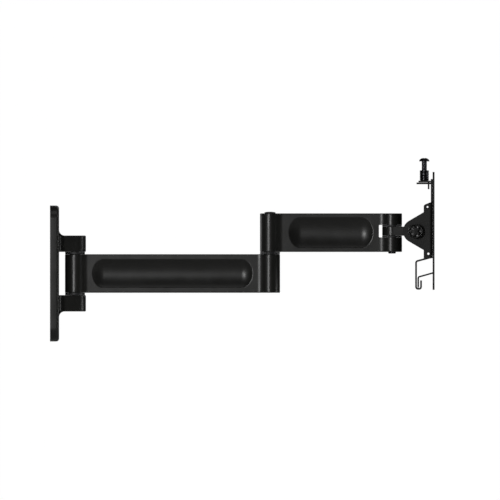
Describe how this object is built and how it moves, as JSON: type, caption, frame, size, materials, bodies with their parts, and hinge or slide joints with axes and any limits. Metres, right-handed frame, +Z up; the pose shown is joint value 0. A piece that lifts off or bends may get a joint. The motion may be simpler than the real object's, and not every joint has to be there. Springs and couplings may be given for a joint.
{
  "type": "full motion tv wall mount",
  "caption": "Black full-motion wall mount: wall plate with ears, inner and outer swing arms, swivel and tilt head with hand knob, and a square screen plate held by lock screws.",
  "frame": {"origin": "middle of the wall plate's back face, on the wall", "axes": "+X out from the wall along the straightened arms, +Z up, knob on the -Y side"},
  "size_m": [0.3846, 0.118, 0.1837],
  "materials": {
    "black_coat": "satin black powder coat on die-cast aluminium",
    "arm_coat": "satin black powder coat on die-cast aluminium",
    "sheet_coat": "satin black powder coat on pressed steel sheet",
    "black_steel": "black oxide on turned steel",
    "black_plastic": "moulded black plastic",
    "bush_nylon": "black nylon"
  },
  "bodies": {
    "wall": {"wall_plate": "black_coat", "wall_pin": "black_steel", "wall_pin_nut": "black_steel", "wall_cap_upper": "black_plastic", "wall_cap_lower": "black_plastic"},
    "inner": {"inner_arm": "arm_coat", "wall_bush_upper": "bush_nylon", "wall_bush_lower": "bush_nylon", "elbow_bush_lower": "bush_nylon", "elbow_pin": "black_steel", "elbow_pin_nut": "black_steel"},
    "outer": {"outer_arm": "arm_coat", "elbow_bush_upper": "bush_nylon", "elbow_cap": "black_plastic", "head_pin": "black_steel", "head_pin_nut": "black_steel"},
    "swivel": {"swivel_block": "black_coat", "head_washer_upper": "bush_nylon", "head_washer_lower": "bush_nylon"},
    "head": {"tilt_bracket": "sheet_coat", "screen_plate": "sheet_coat", "screw_collar_left": "black_steel", "screw_collar_right": "black_steel", "tilt_bolt": "black_steel", "friction_washer_left": "bush_nylon", "friction_washer_right": "bush_nylon", "knob_washer": "black_steel"},
    "knob": {"tilt_knob": "black_plastic", "knob_nut": "black_steel"},
    "screw_left": {"lock_screw_left": "black_steel"},
    "screw_right": {"lock_screw_right": "black_steel"}
  },
  "joints": [
    {"name": "wall_swivel", "type": "hinge", "parent": "wall", "child": "inner", "pos_m": [0.025, 0, 0], "axis": [0, 0, 1], "range_deg": [-90, 90]},
    {"name": "elbow", "type": "hinge", "parent": "inner", "child": "outer", "pos_m": [0.22, 0, 0.04085], "axis": [0, 0, -1], "range_deg": [-150, 150]},
    {"name": "head_swivel", "type": "hinge", "parent": "outer", "child": "swivel", "pos_m": [0.342, 0, 0.04235], "axis": [0, 0, 1], "range_deg": [-90, 90]},
    {"name": "tilt", "type": "hinge", "parent": "swivel", "child": "head", "pos_m": [0.365, 0, 0.04235], "axis": [0, 1, 0], "range_deg": [-15, 15]},
    {"name": "knob_turn", "type": "hinge", "parent": "head", "child": "knob", "pos_m": [0.365, -0.026, 0.04235], "axis": [0, -1, 0], "continuous": true},
    {"name": "screw_left_travel", "type": "slide", "parent": "head", "child": "screw_left", "axis": [0, 0, 1], "range_m": [-0.0087, 0]},
    {"name": "screw_right_travel", "type": "slide", "parent": "head", "child": "screw_right", "axis": [0, 0, 1], "range_m": [-0.0087, 0]}
  ]
}
